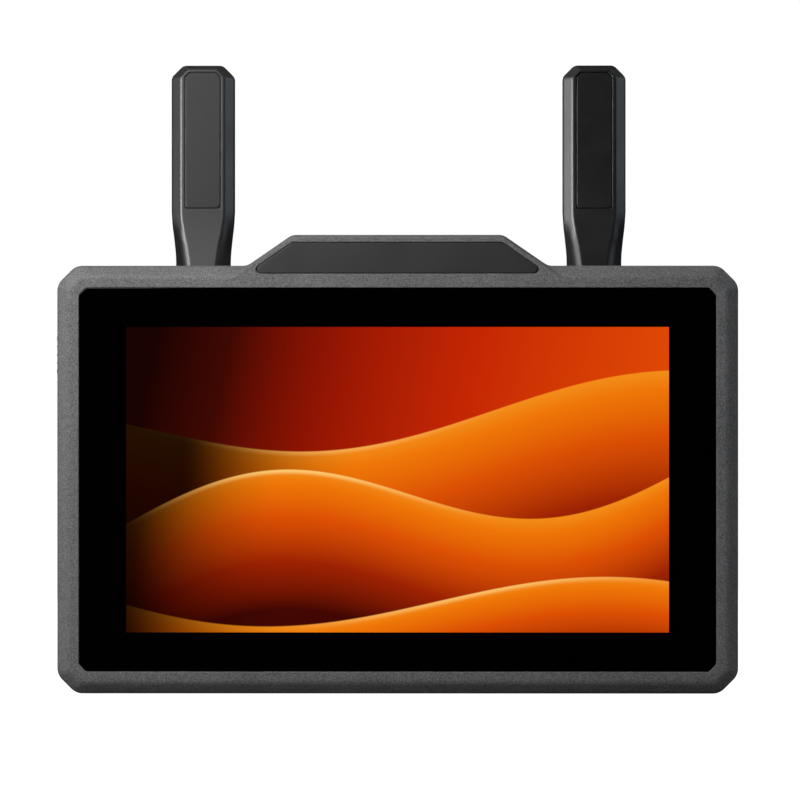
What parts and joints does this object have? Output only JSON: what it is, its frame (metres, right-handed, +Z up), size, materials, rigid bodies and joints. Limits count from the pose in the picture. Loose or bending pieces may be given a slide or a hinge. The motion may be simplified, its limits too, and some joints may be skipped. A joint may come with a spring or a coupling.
{
  "type": "camera field monitor",
  "caption": "Flat wireless camera monitor with a brow, a lit glass front, a battery plate behind and folding, swivelling paddle antennas.",
  "frame": {"origin": "centre of the mouth of the tripod socket in the bottom face", "axes": "+X to the right seen from the front, +Y away from the viewer (the screen faces -Y), +Z up"},
  "size_m": [0.1954, 0.0411, 0.1802],
  "materials": {
    "bezel": "fine moulded grain, dark grey",
    "plate": "satin, near black",
    "cover_glass": "clear glass with a black printed border",
    "tape": "black foam tape",
    "display": "lit display",
    "tray": "white light tray",
    "chassis": "bare die-cast metal",
    "screws": "blackened steel",
    "board": "green solder resist",
    "tin": "tinned sheet",
    "housing": "fine moulded grain, dark grey",
    "brass": "turned",
    "black_plastic": "black",
    "knob": "satin black",
    "latch": "satin red",
    "spring_steel": "bright steel",
    "antenna": "fine moulded grain, dark grey",
    "antenna_trim": "satin, near black",
    "cable": "black jacket",
    "flex": "amber film"
  },
  "bodies": {
    "monitor_body": {"antenna_left_coax": "cable", "antenna_left_hinge_pin": "spring_steel", "antenna_right_coax": "cable", "antenna_right_hinge_pin": "spring_steel", "backlight_unit": "tray", "battery_contacts": "black_plastic", "battery_leads": "cable", "battery_plate": "black_plastic", "battery_screws": "screws", "board_flex": "flex", "board_screws": "screws", "chassis_plate": "chassis", "chassis_screws": "screws", "cover_glass": "cover_glass", "dc_in_jack": "black_plastic", "display_flex": "flex", "fan_frame": "black_plastic", "fan_lead": "cable", "fan_screws": "screws", "front_bezel": "bezel", "glass_tape": "tape", "hdmi_in_socket": "tin", "hdmi_out_socket": "tin", "headphone_jack": "black_plastic", "heat_sink": "chassis", "housing_screws": "screws", "latch_spring": "spring_steel", "lcd_cell": "display", "main_board": "board", "name_plate": "plate", "radio_board": "board", "radio_shield": "tin", "rear_housing": "housing", "side_board": "board", "switch_body": "black_plastic", "thermal_pad": "tape", "touch_flex": "flex", "tripod_insert_bottom": "brass", "tripod_insert_top": "brass", "usb_c_socket": "tin"},
    "power_slider": {"power_slider": "knob"},
    "battery_latch": {"battery_latch": "latch"},
    "fan_rotor": {"fan_rotor": "black_plastic"},
    "antenna_left_knuckle": {"antenna_left_knuckle": "antenna"},
    "antenna_left_paddle": {"antenna_left_shell": "antenna", "antenna_left_back": "antenna", "antenna_left_panel": "antenna_trim", "antenna_left_radiator": "board"},
    "antenna_right_knuckle": {"antenna_right_knuckle": "antenna"},
    "antenna_right_paddle": {"antenna_right_shell": "antenna", "antenna_right_back": "antenna", "antenna_right_panel": "antenna_trim", "antenna_right_radiator": "board"}
  },
  "joints": [
    {"name": "power_switch_slide", "type": "slide", "parent": "monitor_body", "child": "power_slider", "axis": [0, 0, 1], "range_m": [0, 0.003]},
    {"name": "battery_latch_press", "type": "slide", "parent": "monitor_body", "child": "battery_latch", "axis": [0, -1, 0], "range_m": [0, 0.002], "stiffness_N_per_m": 300, "springref_m": -0.001, "deforming": ["latch_spring"]},
    {"name": "fan_spin", "type": "hinge", "parent": "monitor_body", "child": "fan_rotor", "pos_m": [0, 0.0055, 0.097], "axis": [0, 1, 0], "continuous": true},
    {"name": "antenna_left_fold", "type": "hinge", "parent": "monitor_body", "child": "antenna_left_knuckle", "pos_m": [-0.0564, 0.0048, 0.111], "axis": [-1, 0, 0], "range_deg": [0, 180]},
    {"name": "antenna_left_swivel", "type": "hinge", "parent": "antenna_left_knuckle", "child": "antenna_left_paddle", "pos_m": [-0.0564, 0.0048, 0.1186], "axis": [0, 0, 1], "range_deg": [-90, 90]},
    {"name": "antenna_right_fold", "type": "hinge", "parent": "monitor_body", "child": "antenna_right_knuckle", "pos_m": [0.0564, 0.0048, 0.111], "axis": [-1, 0, 0], "range_deg": [0, 180]},
    {"name": "antenna_right_swivel", "type": "hinge", "parent": "antenna_right_knuckle", "child": "antenna_right_paddle", "pos_m": [0.0564, 0.0048, 0.1186], "axis": [0, 0, 1], "range_deg": [-90, 90]}
  ]
}
